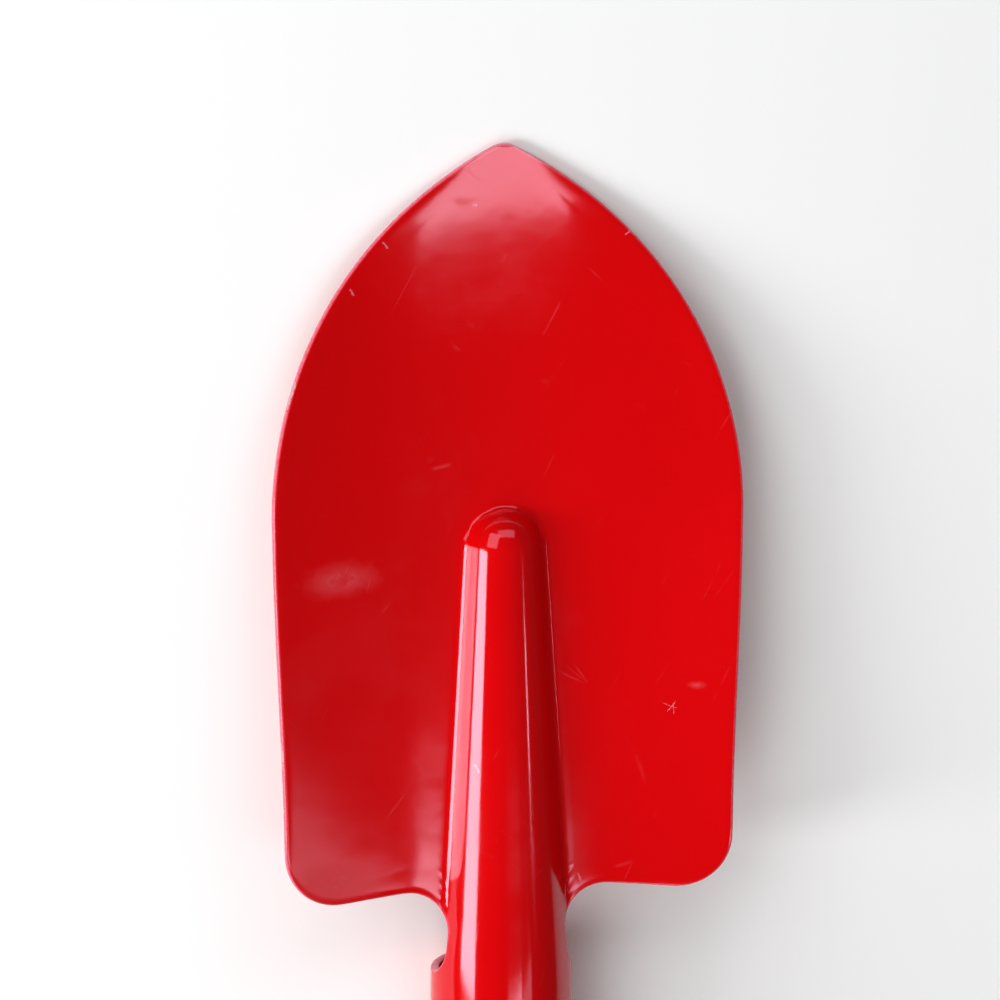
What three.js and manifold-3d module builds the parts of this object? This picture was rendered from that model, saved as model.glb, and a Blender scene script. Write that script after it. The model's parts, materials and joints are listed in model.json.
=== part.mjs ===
// A hand trowel: one pressed and rolled steel sheet on a turned wooden handle, held by a cross rivet.
// Millimetres, +Z up. The trowel lies on its back, as it rests on a bench, with its tip towards +Y.
// The shapes are worked out in a straight frame first: X across, "station" measured from the tip
// along the tool, Z up from the lowest line of the blade's front face. The whole tool is then laid down.

import * as THREE from 'three';
import { mergeVertices } from 'three/addons/utils/BufferGeometryUtils.js';
import Module from 'manifold-3d';

const wasm = await Module();
wasm.setup();

// ---- driving dimensions ----
const BLADE_WIDTH = 80;            // widest, across the rims
const BLADE_LENGTH = 127.7;        // tip to shoulders
const SHEET = 1.5;                 // steel sheet, with its enamel
const DISH = 6.5;                  // rims above the blade's middle line
const SOCKET_RADIUS = 12.1;        // outside of the rolled tube
const SOCKET_LENGTH = 43.2;          // rolled tube, from the wings' top edge to its mouth
const GRIP_LENGTH = 118;           // wood outside the socket
const GRIP_RADIUS = 15.5;          // widest part of the grip

// ---- blade outline ----
const TIP_FLAT = 0.5;              // half of the worn flat at the very tip
const TIP_ROUND = 4.2;               // rounding of the tip
const WIDEST_STATION = BLADE_LENGTH * 0.496;
const SHOULDER_HALF = BLADE_WIDTH * 0.478;
const SHOULDER_ROUND = 9.3;
const SHOULDER_RISE = 0.8;         // the shoulder edge creeps forward towards the neck
const NECK_ROUND = 7;              // fillet between shoulder and neck
const TIP_LIFT = 2.5;              // the tip curls up
const TIP_RUN = 40;                // over this length

// ---- rib, neck and socket: one half-round arch that grows from the rib's nose to the tube ----
const NOSE_STATION = BLADE_LENGTH * 0.532;   // centre of the rib's round nose
const NOSE_RADIUS = 6.7;
const NOSE_SINK = 1.7;             // the nose's centre lies this far under the blade's face
const NECK_LENGTH = 14.6;
const NECK_STATION = BLADE_LENGTH - SHOULDER_RISE + NECK_ROUND;   // where the neck's straight edge begins
const SOCKET_STATION = BLADE_LENGTH + NECK_LENGTH;
const SOCKET_SINK = 4.5;           // the tube's axis lies this far under the blade's face
const NECK_ANGLE = THREE.MathUtils.degToRad(63);   // half of the arch that the neck keeps
const WING_ROUND = 5.2;            // fillet between the neck's edge and the wing's top edge
const SEAM_GAP = 1.2;              // between the wings where they meet at the back
const MOUTH_STATION = SOCKET_STATION + SOCKET_LENGTH;
const NOSE_BLEND = 1.6;            // how softly the rib runs into the blade at its nose
const NECK_BLEND = 2.6;            // and at the neck
const LEVELLING = 0.08;            // how softly the arch's growth ends, as a share of the rib and neck

// ---- handle and its fixing ----
const FIT_GAP = 0.3;               // clearance between pieces
const TENON_RADIUS = SOCKET_RADIUS - SHEET - FIT_GAP;
const TENON_LENGTH = SOCKET_LENGTH - 6;
const TENON_CHAMFER = 1;
const BUTT_FACE_RADIUS = 7;        // flat end of the handle
const HANG_HOLE_RADIUS = 4.5;
const HANG_HOLE_INSET = 17;        // from the butt
const RIVET_RADIUS = 2;
const RIVET_HEAD_RADIUS = 3.8;
const RIVET_HEAD_HEIGHT = 1.8;
const RIVET_STATION = SOCKET_STATION + SOCKET_LENGTH * 0.62;
const BURR_RADIUS = 4.4;
const BURR_THICKNESS = 0.9;
const BUTT_STATION = MOUTH_STATION + FIT_GAP + GRIP_LENGTH;

// ---- how finely curves are stepped ----
const AROUND = 36;                 // sides of a turned piece
const STRIP_COLUMNS = 12;
const FLANGE_COLUMNS = 8;
const WING_COLUMNS = 14;

const { lerp, smoothstep } = THREE.MathUtils;

const enamel = new THREE.MeshStandardMaterial({ color: 0xc80410, roughness: 0.22, metalness: 0.0 });
const ash = new THREE.MeshStandardMaterial({ color: 0xc49a63, roughness: 0.55, metalness: 0.0 });
const steel = new THREE.MeshStandardMaterial({ color: 0xa9a8a4, roughness: 0.35, metalness: 1.0 });

// ---------------------------------------------------------------- the sheet's shape

// How far along the arch a station lies: 0 at the nose's centre, and softly levelling out to 1 at the socket.
function archShare(station) {
  const share = Math.max(0, (station - NOSE_STATION) / (SOCKET_STATION - NOSE_STATION));
  const over = THREE.MathUtils.clamp(share - 1 + LEVELLING, 0, 2 * LEVELLING);
  return Math.min(share, 1 + LEVELLING) - over * over / (4 * LEVELLING);
}

function archRadius(station) {
  return lerp(NOSE_RADIUS, SOCKET_RADIUS, archShare(station));
}

function archAxis(station) {
  return -lerp(NOSE_SINK, SOCKET_SINK, archShare(station));
}

// Half width of the middle strip, which the neck keeps when the shoulders are cut away.
function stripHalf(station) {
  return archRadius(station) * Math.sin(NECK_ANGLE);
}

// Height of the rib's arch over the blade's middle line; a ball closes it at the nose.
function archHeight(x, station) {
  const radius = archRadius(station);
  const ahead = Math.max(0, NOSE_STATION - station);
  const inside = radius * radius - x * x - ahead * ahead;
  return inside > 0 ? archAxis(station) + Math.sqrt(inside) : -BLADE_WIDTH;
}

// Height of the dished blade over its middle line.
function dishHeight(x, station) {
  const half = BLADE_WIDTH / 2;
  const dishRadius = (half * half + DISH * DISH) / (2 * DISH);
  const curl = TIP_LIFT * Math.max(0, 1 - station / TIP_RUN) ** 2;
  return dishRadius - Math.sqrt(dishRadius * dishRadius - x * x) + curl;
}

// The front face: the higher of arch and dish, with a soft fillet where they meet, which runs out
// behind the shoulders, so that the neck is the bare arch.
function frontHeight(x, station) {
  const arch = archHeight(x, station);
  const dish = dishHeight(x, station);
  const runOut = 1 - smoothstep(station, BLADE_LENGTH - SHOULDER_RISE, NECK_STATION);
  const blend = lerp(NOSE_BLEND, NECK_BLEND, archShare(station)) * runOut + 1e-3;
  const near = Math.max(0, blend - Math.abs(arch - dish));
  return Math.max(arch, dish) + near * near / (4 * blend);
}

function onBlade(x, station) {
  return new THREE.Vector3(x, -station, frontHeight(x, station));
}

function onTube(angle, station) {
  const radius = archRadius(station);
  return new THREE.Vector3(radius * Math.sin(angle), -station, archAxis(station) + radius * Math.cos(angle));
}

// ---------------------------------------------------------------- the sheet's outline

const ogive = new THREE.CubicBezierCurve(
  new THREE.Vector2(0, -0.6),
  new THREE.Vector2(BLADE_WIDTH * 0.527, WIDEST_STATION * 0.328),
  new THREE.Vector2(BLADE_WIDTH * 0.495, WIDEST_STATION * 0.93),
  new THREE.Vector2(BLADE_WIDTH * 0.495, WIDEST_STATION),
);

// Half width of the blade at a station, from the rounded tip to where the shoulder's corner begins.
function bladeHalf(station) {
  if (station >= WIDEST_STATION) {
    const along = (station - WIDEST_STATION) / (BLADE_LENGTH - SHOULDER_ROUND - WIDEST_STATION);
    return lerp(BLADE_WIDTH * 0.495, SHOULDER_HALF, smoothstep(along, 0, 1));
  }
  let low = 0;
  let high = 1;
  for (let step = 0; step < 40; step += 1) {
    const middle = (low + high) / 2;
    if (ogive.getPoint(middle).y < station) low = middle;
    else high = middle;
  }
  const depth = TIP_ROUND - Math.min(station, TIP_ROUND);
  const round = Math.sqrt(TIP_ROUND * TIP_ROUND - depth * depth);
  return Math.max(TIP_FLAT, Math.min(ogive.getPoint(low).x, station < 1 ? round : Infinity));
}

// Where the flange's rim starts: the station at which the blade is as wide as the middle strip.
function stripEdgeStation() {
  let low = 0;
  let high = NOSE_STATION / 2;
  for (let step = 0; step < 40; step += 1) {
    const middle = (low + high) / 2;
    if (bladeHalf(middle) < stripHalf(middle)) low = middle;
    else high = middle;
  }
  return low;
}

// Rows of the blade: each has a station on the middle strip and a point on the right-hand rim.
function bladeRows() {
  const rows = [];
  const straight = (station) => rows.push({ station, rim: new THREE.Vector2(bladeHalf(station), station) });
  const start = stripEdgeStation();
  for (const station of [0, 0.25, 0.6, 1.4, start]) straight(station);
  const noseFront = NOSE_STATION - NOSE_RADIUS - NOSE_BLEND;
  for (let step = 1; step <= 12; step += 1) straight(lerp(start, noseFront, (step / 12) ** 1.15));
  for (let step = 1; step <= 8; step += 1) straight(lerp(noseFront, NOSE_STATION, step / 8));
  const corner = BLADE_LENGTH - SHOULDER_ROUND;
  for (let step = 1; step <= 8; step += 1) straight(lerp(NOSE_STATION, corner, step / 8));

  const neckHalf = stripHalf(NECK_STATION);
  const rims = [];
  for (let step = 1; step <= 5; step += 1) {
    const angle = (step / 5) * Math.PI / 2;
    rims.push(new THREE.Vector2(
      bladeHalf(corner) - SHOULDER_ROUND * (1 - Math.cos(angle)),
      corner + SHOULDER_ROUND * Math.sin(angle),
    ));
  }
  const shoulderEnd = rims[rims.length - 1].clone();
  const filletStart = new THREE.Vector2(neckHalf + NECK_ROUND, BLADE_LENGTH - SHOULDER_RISE);
  rims.push(shoulderEnd.clone().lerp(filletStart, 0.5));
  for (let step = 0; step <= 5; step += 1) {
    const angle = (step / 5) * Math.PI / 2;
    rims.push(new THREE.Vector2(
      filletStart.x - NECK_ROUND * Math.sin(angle),
      filletStart.y + NECK_ROUND * (1 - Math.cos(angle)),
    ));
  }
  rims.forEach((rim, index) => {
    rows.push({ station: lerp(corner, NECK_STATION, (index + 1) / rims.length), rim });
  });
  return rows;
}

// The wing's top edge, rounded into the neck's edge; it reaches the full station under the fillet.
function wingStart(angle) {
  const drop = SOCKET_RADIUS * (Math.cos(NECK_ANGLE) - Math.cos(angle));
  if (drop >= WING_ROUND) return SOCKET_STATION;
  const rest = WING_ROUND - drop;
  return SOCKET_STATION - WING_ROUND + Math.sqrt(WING_ROUND * WING_ROUND - rest * rest);
}

// ---------------------------------------------------------------- meshes

// Triangles of a grid of points, given row by row; the front face looks up.
function gridTriangles(rows) {
  const triangles = [];
  for (let r = 0; r + 1 < rows.length; r += 1) {
    for (let c = 0; c + 1 < rows[r].length; c += 1) {
      const [a, b] = [rows[r][c], rows[r][c + 1]];
      const [d, e] = [rows[r + 1][c], rows[r + 1][c + 1]];
      triangles.push([a, d, b], [b, d, e]);
    }
  }
  return triangles;
}

function mirrored(triangles) {
  return triangles.map((triangle) => triangle.map((p) => new THREE.Vector3(-p.x, p.y, p.z)).reverse());
}

// One indexed surface from loose triangles, without the ones that have collapsed to a line.
function surface(triangles) {
  const loose = new THREE.BufferGeometry();
  const places = triangles.flat().flatMap((p) => [p.x, p.y, p.z]);
  loose.setAttribute('position', new THREE.Float32BufferAttribute(places, 3));
  const merged = mergeVertices(loose, 1e-3);
  const index = [];
  for (let i = 0; i < merged.index.count; i += 3) {
    const [a, b, c] = [0, 1, 2].map((k) => merged.index.getX(i + k));
    if (a !== b && b !== c && c !== a) index.push(a, b, c);
  }
  merged.setIndex(index);
  merged.computeVertexNormals();
  return merged;
}

// A sheet of even thickness under a surface: front, back, and a wall along every free edge.
function thickened(front, thickness) {
  const place = front.attributes.position;
  const normal = front.attributes.normal;
  const count = place.count;
  const places = [...place.array];
  for (let i = 0; i < count; i += 1) {
    places.push(
      place.getX(i) - thickness * normal.getX(i),
      place.getY(i) - thickness * normal.getY(i),
      place.getZ(i) - thickness * normal.getZ(i),
    );
  }
  const faces = [...front.index.array];
  const index = [...faces];
  const edges = new Set();
  for (let i = 0; i < faces.length; i += 3) {
    const [a, b, c] = faces.slice(i, i + 3);
    index.push(count + a, count + c, count + b);
    for (const [from, to] of [[a, b], [b, c], [c, a]]) edges.add(`${from},${to}`);
  }
  for (const edge of edges) {
    const [from, to] = edge.split(',').map(Number);
    if (!edges.has(`${to},${from}`)) index.push(to, from, count + from, to, count + from, count + to);
  }
  const solid = new THREE.BufferGeometry();
  solid.setAttribute('position', new THREE.Float32BufferAttribute(places, 3));
  solid.setIndex(index);
  return solid;
}

function toSolid(geometry) {
  const bare = geometry.clone();
  bare.deleteAttribute('normal');
  if (bare.hasAttribute('uv')) bare.deleteAttribute('uv');
  const merged = mergeVertices(bare, 1e-4);
  return new wasm.Manifold(new wasm.Mesh({
    numProp: 3,
    vertProperties: new Float32Array(merged.attributes.position.array),
    triVerts: new Uint32Array(merged.index.array),
  }));
}

function toGeometry(solid) {
  const mesh = solid.getMesh();
  const geometry = new THREE.BufferGeometry();
  geometry.setAttribute('position', new THREE.BufferAttribute(mesh.vertProperties, 3));
  geometry.setIndex(new THREE.BufferAttribute(mesh.triVerts, 1));
  geometry.computeVertexNormals();
  return geometry;
}

// A round bar along X through the tube's axis, as long as is asked for.
function crossBar(radius, length, station) {
  const bar = new THREE.CylinderGeometry(radius, radius, length, 20);
  bar.rotateZ(Math.PI / 2);
  bar.translate(0, -station, -SOCKET_SINK);
  return bar;
}

// ---------------------------------------------------------------- sub-parts

function bladePressing() {
  const triangles = [];
  const rows = bladeRows();
  const stripRow = (station, half) => {
    const tilt = Math.asin(half / archRadius(station));
    const row = [];
    for (let c = 0; c <= STRIP_COLUMNS; c += 1) {
      const angle = lerp(-tilt, tilt, c / STRIP_COLUMNS);
      row.push(onBlade(archRadius(station) * Math.sin(angle), station));
    }
    return row;
  };
  const strip = rows.map(({ station, rim }) => stripRow(station, Math.min(stripHalf(station), rim.x)));

  // the socket's strip and wing share their rows along the neck's edge
  const wingRows = [0, 0.08, 0.2, 0.5, 1];
  const tubeStations = (angle) => wingRows.map((share) => lerp(wingStart(angle), MOUTH_STATION, share));
  for (const station of tubeStations(NECK_ANGLE)) {
    const row = [];
    for (let c = 0; c <= STRIP_COLUMNS; c += 1) {
      row.push(onTube(lerp(-NECK_ANGLE, NECK_ANGLE, c / STRIP_COLUMNS), station));
    }
    strip.push(row);
  }
  triangles.push(...gridTriangles(strip));

  const flange = rows
    .filter(({ station, rim }) => rim.x >= stripHalf(station) - 1e-3)
    .map(({ station, rim }) => {
      const root = new THREE.Vector2(stripHalf(station), station);
      const row = [];
      for (let c = 0; c <= FLANGE_COLUMNS; c += 1) {
        const place = root.clone().lerp(rim, (c / FLANGE_COLUMNS) ** 1.5);
        row.push(onBlade(place.x, place.y));
      }
      return row;
    });
  const flangeTriangles = gridTriangles(flange);

  const seamAngle = Math.PI - SEAM_GAP / 2 / SOCKET_RADIUS;
  const wing = wingRows.map(() => []);
  for (let c = 0; c <= WING_COLUMNS; c += 1) {
    const angle = lerp(NECK_ANGLE, seamAngle, c / WING_COLUMNS);
    tubeStations(angle).forEach((station, r) => wing[r].push(onTube(angle, station)));
  }
  const wingTriangles = gridTriangles(wing);

  triangles.push(...flangeTriangles, ...wingTriangles);
  triangles.push(...mirrored(flangeTriangles), ...mirrored(wingTriangles));
  const sheet = toSolid(thickened(surface(triangles), SHEET));
  const hole = toSolid(crossBar(RIVET_RADIUS + FIT_GAP, 4 * SOCKET_RADIUS, RIVET_STATION));
  return new THREE.Mesh(toGeometry(sheet.subtract(hole)), enamel);
}

// Radius of the grip along its length: a shoulder, a swell for the palm, a waist and a round butt.
function gripCurve() {
  return new THREE.SplineCurve([
    new THREE.Vector2(SOCKET_RADIUS + 0.9, 0),
    new THREE.Vector2(GRIP_RADIUS * 0.87, GRIP_LENGTH * 0.1),
    new THREE.Vector2(GRIP_RADIUS * 0.985, GRIP_LENGTH * 0.32),
    new THREE.Vector2(GRIP_RADIUS, GRIP_LENGTH * 0.45),
    new THREE.Vector2(GRIP_RADIUS * 0.93, GRIP_LENGTH * 0.65),
    new THREE.Vector2(GRIP_RADIUS * 0.84, GRIP_LENGTH * 0.8),
    new THREE.Vector2(GRIP_RADIUS * 0.86, GRIP_LENGTH * 0.92),
  ]);
}

function handle() {
  const tenonEnd = MOUTH_STATION - TENON_LENGTH;
  const gripStart = MOUTH_STATION + FIT_GAP;
  const profile = [
    new THREE.Vector2(0, -tenonEnd),
    new THREE.Vector2(TENON_RADIUS - TENON_CHAMFER, -tenonEnd),
    new THREE.Vector2(TENON_RADIUS, -tenonEnd - TENON_CHAMFER),
    new THREE.Vector2(TENON_RADIUS, -gripStart),
  ];
  const grip = gripCurve().getPoints(18);
  for (const point of grip) profile.push(new THREE.Vector2(point.x, -gripStart - point.y));
  const last = grip[grip.length - 1];
  for (let step = 1; step <= 5; step += 1) {
    const angle = (step / 5) * Math.PI / 2;
    profile.push(new THREE.Vector2(
      BUTT_FACE_RADIUS + (last.x - BUTT_FACE_RADIUS) * Math.cos(angle),
      -gripStart - last.y - (GRIP_LENGTH - last.y) * Math.sin(angle),
    ));
  }
  profile.push(new THREE.Vector2(0, -BUTT_STATION));
  const turned = new THREE.LatheGeometry(profile.reverse(), AROUND);
  turned.translate(0, 0, -SOCKET_SINK);

  const hang = new THREE.CylinderGeometry(HANG_HOLE_RADIUS, HANG_HOLE_RADIUS, 4 * GRIP_RADIUS, 24);
  hang.rotateX(Math.PI / 2);
  hang.translate(0, -BUTT_STATION + HANG_HOLE_INSET, -SOCKET_SINK);
  const rivetHole = crossBar(RIVET_RADIUS + FIT_GAP, 4 * SOCKET_RADIUS, RIVET_STATION);
  const wood = toSolid(turned).subtract(toSolid(hang)).subtract(toSolid(rivetHole));
  return new THREE.Mesh(toGeometry(wood), ash);
}

// A turned fixing whose axis lies across the socket; its profile runs along +X.
function crossTurned(profile, sides) {
  const piece = new THREE.LatheGeometry(profile, sides);
  piece.rotateZ(-Math.PI / 2);
  piece.translate(0, -RIVET_STATION, -SOCKET_SINK);
  return new THREE.Mesh(piece, steel);
}

// The rivet: a domed head on one side, and on the other a clenched end over the burr.
function handleRivet() {
  const seat = SOCKET_RADIUS + FIT_GAP;
  const clenchSeat = seat + BURR_THICKNESS + FIT_GAP;
  const dome = (radius, height, base) => {
    const points = [];
    for (let step = 0; step <= 5; step += 1) {
      const angle = (step / 5) * Math.PI / 2;
      points.push(new THREE.Vector2(radius * Math.sin(angle), base + height * Math.cos(angle)));
    }
    return points;
  };
  const clench = dome(RIVET_HEAD_RADIUS * 0.82, RIVET_HEAD_HEIGHT * 0.8, clenchSeat);
  const head = dome(RIVET_HEAD_RADIUS, RIVET_HEAD_HEIGHT, seat).map((p) => new THREE.Vector2(p.x, -p.y));
  const profile = [
    ...head,
    new THREE.Vector2(RIVET_RADIUS, -seat),
    new THREE.Vector2(RIVET_RADIUS, clenchSeat),
    ...clench.reverse(),
  ];
  return crossTurned(profile, 20);
}

function rivetBurr() {
  const inner = SOCKET_RADIUS + FIT_GAP;
  const outer = inner + BURR_THICKNESS;
  const profile = [
    new THREE.Vector2(RIVET_RADIUS + FIT_GAP, inner),
    new THREE.Vector2(BURR_RADIUS, inner),
    new THREE.Vector2(BURR_RADIUS, outer - 0.3),
    new THREE.Vector2(BURR_RADIUS - 0.4, outer),
    new THREE.Vector2(RIVET_RADIUS + FIT_GAP, outer),
    new THREE.Vector2(RIVET_RADIUS + FIT_GAP, inner),
  ];
  return crossTurned(profile, 20);
}

// ---------------------------------------------------------------- assembly

const tool = new THREE.Group();
const pieces = {
  blade_pressing: bladePressing(),
  handle: handle(),
  handle_rivet: handleRivet(),
  rivet_burr: rivetBurr(),
};
for (const [name, piece] of Object.entries(pieces)) {
  piece.name = name;
  tool.add(piece);
}

// Lay the tool on its back: the tip and the back edge of the socket's wings touch the ground.
const tipBottom = dishHeight(0, 0) - SHEET;
const wingBottom = -SOCKET_SINK - SOCKET_RADIUS;
tool.rotation.x = -Math.atan2(tipBottom - wingBottom, SOCKET_STATION);
tool.updateMatrixWorld(true);

// The ground is at Z = 0, and the tool's box is centred over the origin.
const box = new THREE.Box3().setFromObject(tool, true);
tool.position.set(0, -(box.min.y + box.max.y) / 2, -box.min.z);

const trowel = new THREE.Group();
trowel.add(tool);

export default trowel;
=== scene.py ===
"""A hand trowel: one pressed, rolled and red-enamelled steel sheet riveted to a turned ash handle.

The pressing is formed as the real one is, from a flat blank: a grid of cells is pressed into the dished
blade with its raised rib, drawn down to the neck, and rolled round into the socket. The handle, the rivet
and the burr are turned. Everything is made in the tool's own straight frame and then laid down on its back
where the row's frame has it. In the straight frame x runs across, y is minus the station, which is the
distance from the tip along the tool, and z runs up from the lowest line of the blade's face.
"""

import json
import math

import bpy
from mathutils import Matrix, Vector


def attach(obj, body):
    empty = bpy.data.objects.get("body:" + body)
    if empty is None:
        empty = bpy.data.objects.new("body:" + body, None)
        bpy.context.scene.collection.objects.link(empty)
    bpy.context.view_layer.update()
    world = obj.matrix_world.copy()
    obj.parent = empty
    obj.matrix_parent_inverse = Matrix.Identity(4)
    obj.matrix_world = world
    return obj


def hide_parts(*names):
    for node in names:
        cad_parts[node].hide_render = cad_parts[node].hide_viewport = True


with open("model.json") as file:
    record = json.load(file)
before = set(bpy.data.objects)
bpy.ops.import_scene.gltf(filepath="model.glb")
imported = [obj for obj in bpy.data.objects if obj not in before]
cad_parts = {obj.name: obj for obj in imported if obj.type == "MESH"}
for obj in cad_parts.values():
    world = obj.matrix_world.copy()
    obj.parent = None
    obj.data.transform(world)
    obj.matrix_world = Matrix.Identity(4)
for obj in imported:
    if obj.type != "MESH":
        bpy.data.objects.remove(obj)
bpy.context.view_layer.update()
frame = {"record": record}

BODY = "root"
MM = 0.001

# ---------------------------------------------------------------- sizes, in millimetres

BLADE_WIDTH = 80.0
BLADE_LENGTH = 127.7
SHEET = 1.5
DISH = 6.5
SOCKET_RADIUS = 12.1
SOCKET_LENGTH = 43.2
GRIP_LENGTH = 118.0
GRIP_RADIUS = 15.5

TIP_FLAT = 0.5
TIP_ROUND = 4.2
WIDEST_STATION = BLADE_LENGTH * 0.496
WIDE_SHARE = 0.495                 # widest half width as a share of the blade's width
SHOULDER_HALF = BLADE_WIDTH * 0.478
SHOULDER_ROUND = 9.3
SHOULDER_RISE = 0.8
NECK_ROUND = 7.0
TIP_LIFT = 2.5
TIP_RUN = 40.0

NOSE_STATION = BLADE_LENGTH * 0.532
NOSE_RADIUS = 6.7
NOSE_SINK = 1.7
NECK_LENGTH = 14.6
NECK_STATION = BLADE_LENGTH - SHOULDER_RISE + NECK_ROUND
SOCKET_STATION = BLADE_LENGTH + NECK_LENGTH
SOCKET_SINK = 4.5
NECK_ANGLE = math.radians(63)
WING_ROUND = 5.2
SEAM_GAP = 1.2
MOUTH_STATION = SOCKET_STATION + SOCKET_LENGTH
NOSE_BLEND = 1.6
NECK_BLEND = 2.6
LEVELLING = 0.08                   # how softly the arch's growth ends, as a share of the rib and neck
STRIP_SHARE = 0.78                 # the blank's middle strip narrows to this share of the neck
RIM_WIDTH = 1.7                    # the blade's rim is coined down over this width
RIM_DROP = 0.2
ROLL_ALLOWANCE = 1.018             # smoothing draws the rolled tube in by as much as this adds

FIT_GAP = 0.3
TENON_RADIUS = SOCKET_RADIUS - SHEET - FIT_GAP
TENON_LENGTH = SOCKET_LENGTH - 6
HANG_HOLE_RADIUS = 4.5
HANG_HOLE_INSET = 17.0
RIVET_RADIUS = 2.0
RIVET_HEAD_RADIUS = 3.8
RIVET_HEAD_HEIGHT = 1.8
RIVET_STATION = SOCKET_STATION + SOCKET_LENGTH * 0.62
BURR_RADIUS = 4.4
BURR_THICKNESS = 0.9
BUTT_FACE_RADIUS = 7.0
BUTT_STATION = MOUTH_STATION + FIT_GAP + GRIP_LENGTH
GRIP_LIP = 0.9                     # how far the grip's front stands out past the socket's wall

DOUBLES = 1e-3                     # points nearer than this are one, in the straight frame's millimetres
SMOOTH_ANGLE = math.radians(40)

# the camera: degrees to the blade's left and ahead of its tip, millimetres
CAMERA_LEFT = 10.63
CAMERA_AHEAD = 10.98
CAMERA_ROLL = -0.26
CAMERA_DISTANCE = 735.0
CAMERA_LENS = 158.4
CAMERA_TARGET = (-0.97, 92.4, 8.0)


# ---------------------------------------------------------------- where the tool lies

def laid_matrix():
    """Takes millimetres in the tool's straight frame to the metres of the row frame."""
    butt = frame["record"]["mounts"][0]
    toward_butt = Vector(butt["axis"]).normalized()
    across = Vector((1, 0, 0))
    up = across.cross(-toward_butt)
    turn = Matrix((across, -toward_butt, up)).transposed()
    butt_in_tool = Vector((0, -BUTT_STATION, -SOCKET_SINK)) * MM
    origin = Vector(butt["pos_m"]) - turn @ butt_in_tool
    return Matrix.Translation(origin) @ turn.to_4x4() @ Matrix.Scale(MM, 4)


LAID = laid_matrix()


# ---------------------------------------------------------------- the sheet's shape

def lerp(a, b, share):
    return a + (b - a) * share


def smoothstep(value, low, high):
    share = min(1.0, max(0.0, (value - low) / (high - low)))
    return share * share * (3 - 2 * share)


def arch_share(station):
    """How far along the arch a station lies: 0 at the rib's nose, softly levelling out to 1 at the socket."""
    share = max(0.0, (station - NOSE_STATION) / (SOCKET_STATION - NOSE_STATION))
    over = min(2 * LEVELLING, max(0.0, share - 1 + LEVELLING))
    return min(share, 1 + LEVELLING) - over * over / (4 * LEVELLING)


def arch_radius(station):
    return lerp(NOSE_RADIUS, SOCKET_RADIUS, arch_share(station))


def arch_axis(station):
    return -lerp(NOSE_SINK, SOCKET_SINK, arch_share(station))


def arch_height(x, station):
    """Height of the rib's arch; a ball closes it at the nose."""
    ahead = max(0.0, NOSE_STATION - station)
    inside = arch_radius(station) ** 2 - x * x - ahead * ahead
    if inside <= 0:
        return -BLADE_WIDTH
    return arch_axis(station) + math.sqrt(inside)


def dish_height(x, station):
    half = BLADE_WIDTH / 2
    dish_radius = (half * half + DISH * DISH) / (2 * DISH)
    curl = TIP_LIFT * max(0.0, 1 - station / TIP_RUN) ** 2
    return dish_radius - math.sqrt(dish_radius ** 2 - x * x) + curl


def front_height(x, station):
    """The front face: the higher of arch and dish, with a soft fillet that runs out along the neck."""
    arch, dish = arch_height(x, station), dish_height(x, station)
    run_out = 1 - smoothstep(station, BLADE_LENGTH - SHOULDER_RISE, NECK_STATION)
    blend = lerp(NOSE_BLEND, NECK_BLEND, arch_share(station)) * run_out + 1e-3
    near = max(0.0, blend - abs(arch - dish))
    return max(arch, dish) + near * near / (4 * blend)


def on_blade(x, station):
    return Vector((x, -station, front_height(x, station)))


def on_tube(angle, station):
    radius = arch_radius(station)
    return Vector((radius * math.sin(angle), -station, arch_axis(station) + radius * math.cos(angle)))


# ---------------------------------------------------------------- the sheet's outline

def ogive(share):
    """The blade's side as one cubic curve, from the tip to the widest place: (half width, station)."""
    wide = BLADE_WIDTH * WIDE_SHARE
    controls = (
        (0.0, -0.6),
        (BLADE_WIDTH * 0.527, WIDEST_STATION * 0.328),
        (wide, WIDEST_STATION * 0.93),
        (wide, WIDEST_STATION),
    )
    rest = 1 - share
    weights = (rest ** 3, 3 * rest * rest * share, 3 * rest * share * share, share ** 3)
    return tuple(sum(w * c[axis] for w, c in zip(weights, controls)) for axis in (0, 1))


def blade_half(station):
    """Half width of the blade, from the rounded tip to where the shoulder's corner begins."""
    if station >= WIDEST_STATION:
        corner = BLADE_LENGTH - SHOULDER_ROUND
        return lerp(BLADE_WIDTH * WIDE_SHARE, SHOULDER_HALF, smoothstep(station, WIDEST_STATION, corner))
    low, high = 0.0, 1.0
    for _ in range(40):
        middle = (low + high) / 2
        if ogive(middle)[1] < station:
            low = middle
        else:
            high = middle
    half = ogive(low)[0]
    if station < 1:
        half = min(half, math.sqrt(TIP_ROUND ** 2 - (TIP_ROUND - station) ** 2))
    return max(TIP_FLAT, half)


def strip_half(station):
    return arch_radius(station) * math.sin(NECK_ANGLE)


# ---------------------------------------------------------------- the blank's rows

STRIP_SHARES = (0.0, 0.21, 0.41, 0.59, 0.75, 0.89)   # columns of the half strip that becomes rib and neck
SIDE_SHARES = (0.0, 0.15, 0.36, 0.59, 0.82)          # columns from the rib's foot region to the rim's loops
BLADE_FOOT_CELL = 1.0              # width of the cells beside the rib's foot
TUBE_FOOT_CELL = 2.0
FOOT_CELL_SHARE = 0.16             # the most of a row's side that one of those cells takes
FOOT_REGION_CELLS = 2.3            # width of the rib's foot region, in such cells
LOOPS_SHARE = 0.55                 # the most of a row's side that the rim's loops take
TIP_STRIP_SHARE = 0.42             # the strip's share of the half width ahead of the rib
RIM_LOOPS = (3.4, 1.7, 0.9, 0.35, -0.2)    # loops of the blank that follow its rim, this far in from it
TIP_STATIONS = (0.0, 0.35, 0.8, 1.6, 3.0, 5.2, 8.2, 12, 17, 23, 30, 38, 46, 53, 58)   # ahead of the rib
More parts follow.
